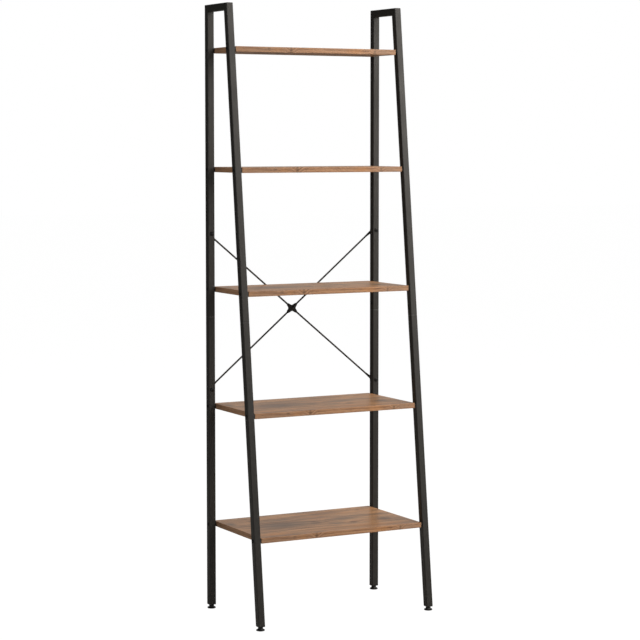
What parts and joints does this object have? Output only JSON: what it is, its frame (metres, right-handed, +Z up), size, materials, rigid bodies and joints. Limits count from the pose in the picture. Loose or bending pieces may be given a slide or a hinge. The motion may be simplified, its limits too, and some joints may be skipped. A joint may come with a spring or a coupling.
{
  "type": "ladder shelf",
  "caption": "Free-standing ladder shelf: two square-tube steel side frames with leaning front legs, wood boards that get deeper downwards, a thin X brace behind and screw-adjusted feet.",
  "frame": {"origin": "on the floor, at the middle of the box around the whole shelf", "axes": "+Z up, front towards -Y, +X towards the right-hand side frame"},
  "size_m": [0.5614, 0.3452, 1.72],
  "materials": {
    "powder_coat": "satin black powder coat with a fine texture",
    "wood_board": "rustic brown wood with grain, knots and grey streaks, matt",
    "black_fastener": "blackened steel",
    "black_hub": "satin black coated casting",
    "zinc_steel": "zinc plated, hidden inside the legs",
    "black_plastic": "moulded, matt"
  },
  "bodies": {
    "frame": {"brace_bolt_lower_left": "black_fastener", "brace_bolt_lower_right": "black_fastener", "brace_bolt_upper_left": "black_fastener", "brace_bolt_upper_right": "black_fastener", "brace_hub": "black_hub", "brace_rod_lower_left": "powder_coat", "brace_rod_lower_right": "powder_coat", "brace_rod_upper_left": "powder_coat", "brace_rod_upper_right": "powder_coat", "joint_screw_back_left": "black_fastener", "joint_screw_back_right": "black_fastener", "joint_screw_front_left": "black_fastener", "joint_screw_front_right": "black_fastener", "joint_sleeve_back_left": "zinc_steel", "joint_sleeve_back_right": "zinc_steel", "joint_sleeve_front_left": "zinc_steel", "joint_sleeve_front_right": "zinc_steel", "leg_plug_back_left": "black_plastic", "leg_plug_back_right": "black_plastic", "leg_plug_front_left": "black_plastic", "leg_plug_front_right": "black_plastic", "lower_back_leg_left": "powder_coat", "lower_back_leg_right": "powder_coat", "lower_front_leg_left": "powder_coat", "lower_front_leg_right": "powder_coat", "shelf_board_1": "wood_board", "shelf_board_2": "wood_board", "shelf_board_3": "wood_board", "shelf_board_4": "wood_board", "shelf_board_5": "wood_board", "shelf_screw_1_back_left": "black_fastener", "shelf_screw_1_back_right": "black_fastener", "shelf_screw_1_front_left": "black_fastener", "shelf_screw_1_front_right": "black_fastener", "shelf_screw_2_back_left": "black_fastener", "shelf_screw_2_back_right": "black_fastener", "shelf_screw_2_front_left": "black_fastener", "shelf_screw_2_front_right": "black_fastener", "shelf_screw_3_back_left": "black_fastener", "shelf_screw_3_back_right": "black_fastener", "shelf_screw_3_front_left": "black_fastener", "shelf_screw_3_front_right": "black_fastener", "shelf_screw_4_back_left": "black_fastener", "shelf_screw_4_back_right": "black_fastener", "shelf_screw_4_front_left": "black_fastener", "shelf_screw_4_front_right": "black_fastener", "shelf_screw_5_back_left": "black_fastener", "shelf_screw_5_back_right": "black_fastener", "shelf_screw_5_front_left": "black_fastener", "shelf_screw_5_front_right": "black_fastener", "top_bar_left": "powder_coat", "top_bar_right": "powder_coat", "upper_back_leg_left": "powder_coat", "upper_back_leg_right": "powder_coat", "upper_front_leg_left": "powder_coat", "upper_front_leg_right": "powder_coat"},
    "foot_back_left": {"levelling_foot_back_left": "black_plastic"},
    "foot_back_right": {"levelling_foot_back_right": "black_plastic"},
    "foot_front_left": {"levelling_foot_front_left": "black_plastic"},
    "foot_front_right": {"levelling_foot_front_right": "black_plastic"}
  },
  "joints": [
    {"name": "foot_height_back_left", "type": "slide", "parent": "frame", "child": "foot_back_left", "axis": [0, 0, -1], "range_m": [0, 0.01]},
    {"name": "foot_height_back_right", "type": "slide", "parent": "frame", "child": "foot_back_right", "axis": [0, 0, -1], "range_m": [0, 0.01]},
    {"name": "foot_height_front_left", "type": "slide", "parent": "frame", "child": "foot_front_left", "axis": [0, 0, -1], "range_m": [0, 0.01]},
    {"name": "foot_height_front_right", "type": "slide", "parent": "frame", "child": "foot_front_right", "axis": [0, 0, -1], "range_m": [0, 0.01]}
  ]
}
